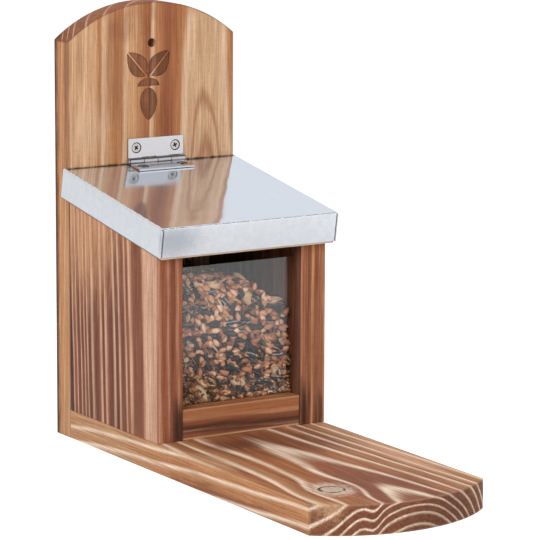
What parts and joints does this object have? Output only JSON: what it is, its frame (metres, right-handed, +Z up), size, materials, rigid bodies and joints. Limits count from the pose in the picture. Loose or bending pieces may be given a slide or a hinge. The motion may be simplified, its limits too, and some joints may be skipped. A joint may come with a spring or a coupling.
{
  "type": "squirrel feeder box",
  "caption": "Wall-hung wooden feeder box with a clear window, a long round-ended ledge, an arched back panel and a hinged metal-clad lid.",
  "frame": {"origin": "middle of the footprint on the underside of the base board and back panel", "axes": "+Z up, the window and ledge face -Y, the back panel's rear face looks along +Y, +X to the right seen from the front"},
  "size_m": [0.125, 0.32, 0.2735],
  "materials": {
    "flamed_softwood": "flamed, brushed and oiled",
    "raw_softwood": "planed and left raw",
    "galvanised_sheet": "bright on top, matt spangle on the skirts",
    "nickel_plate": "satin plate with polished knuckles",
    "zinc_plated_steel": "bright zinc",
    "clear_acrylic": "polished"
  },
  "bodies": {
    "box": {"back_panel": "flamed_softwood", "base_board": "flamed_softwood", "side_panel_left": "flamed_softwood", "side_panel_right": "flamed_softwood", "front_rail": "flamed_softwood", "window_pane": "clear_acrylic", "back_screw_low_left": "zinc_plated_steel", "back_screw_low_right": "zinc_plated_steel", "back_screw_high_left": "zinc_plated_steel", "back_screw_high_right": "zinc_plated_steel", "back_to_base_screw_left": "zinc_plated_steel", "back_to_base_screw_right": "zinc_plated_steel", "base_screw_front_left": "zinc_plated_steel", "base_screw_front_right": "zinc_plated_steel", "base_screw_rear_left": "zinc_plated_steel", "base_screw_rear_right": "zinc_plated_steel", "rail_screw_left": "zinc_plated_steel", "rail_screw_right": "zinc_plated_steel", "hinge_leaf_upper": "nickel_plate", "hinge_screw_upper_left": "nickel_plate", "hinge_screw_upper_right": "nickel_plate", "hinge_pin": "nickel_plate"},
    "lid": {"lid_board": "raw_softwood", "lid_sheet": "galvanised_sheet", "hinge_leaf_lower": "nickel_plate", "hinge_screw_lower_left": "nickel_plate", "hinge_screw_lower_right": "nickel_plate"}
  },
  "joints": [
    {"name": "lid_hinge", "type": "hinge", "parent": "box", "child": "lid", "pos_m": [0, 0.14005, 0.17374], "axis": [-1, 0, 0], "range_deg": [0, 101]}
  ]
}
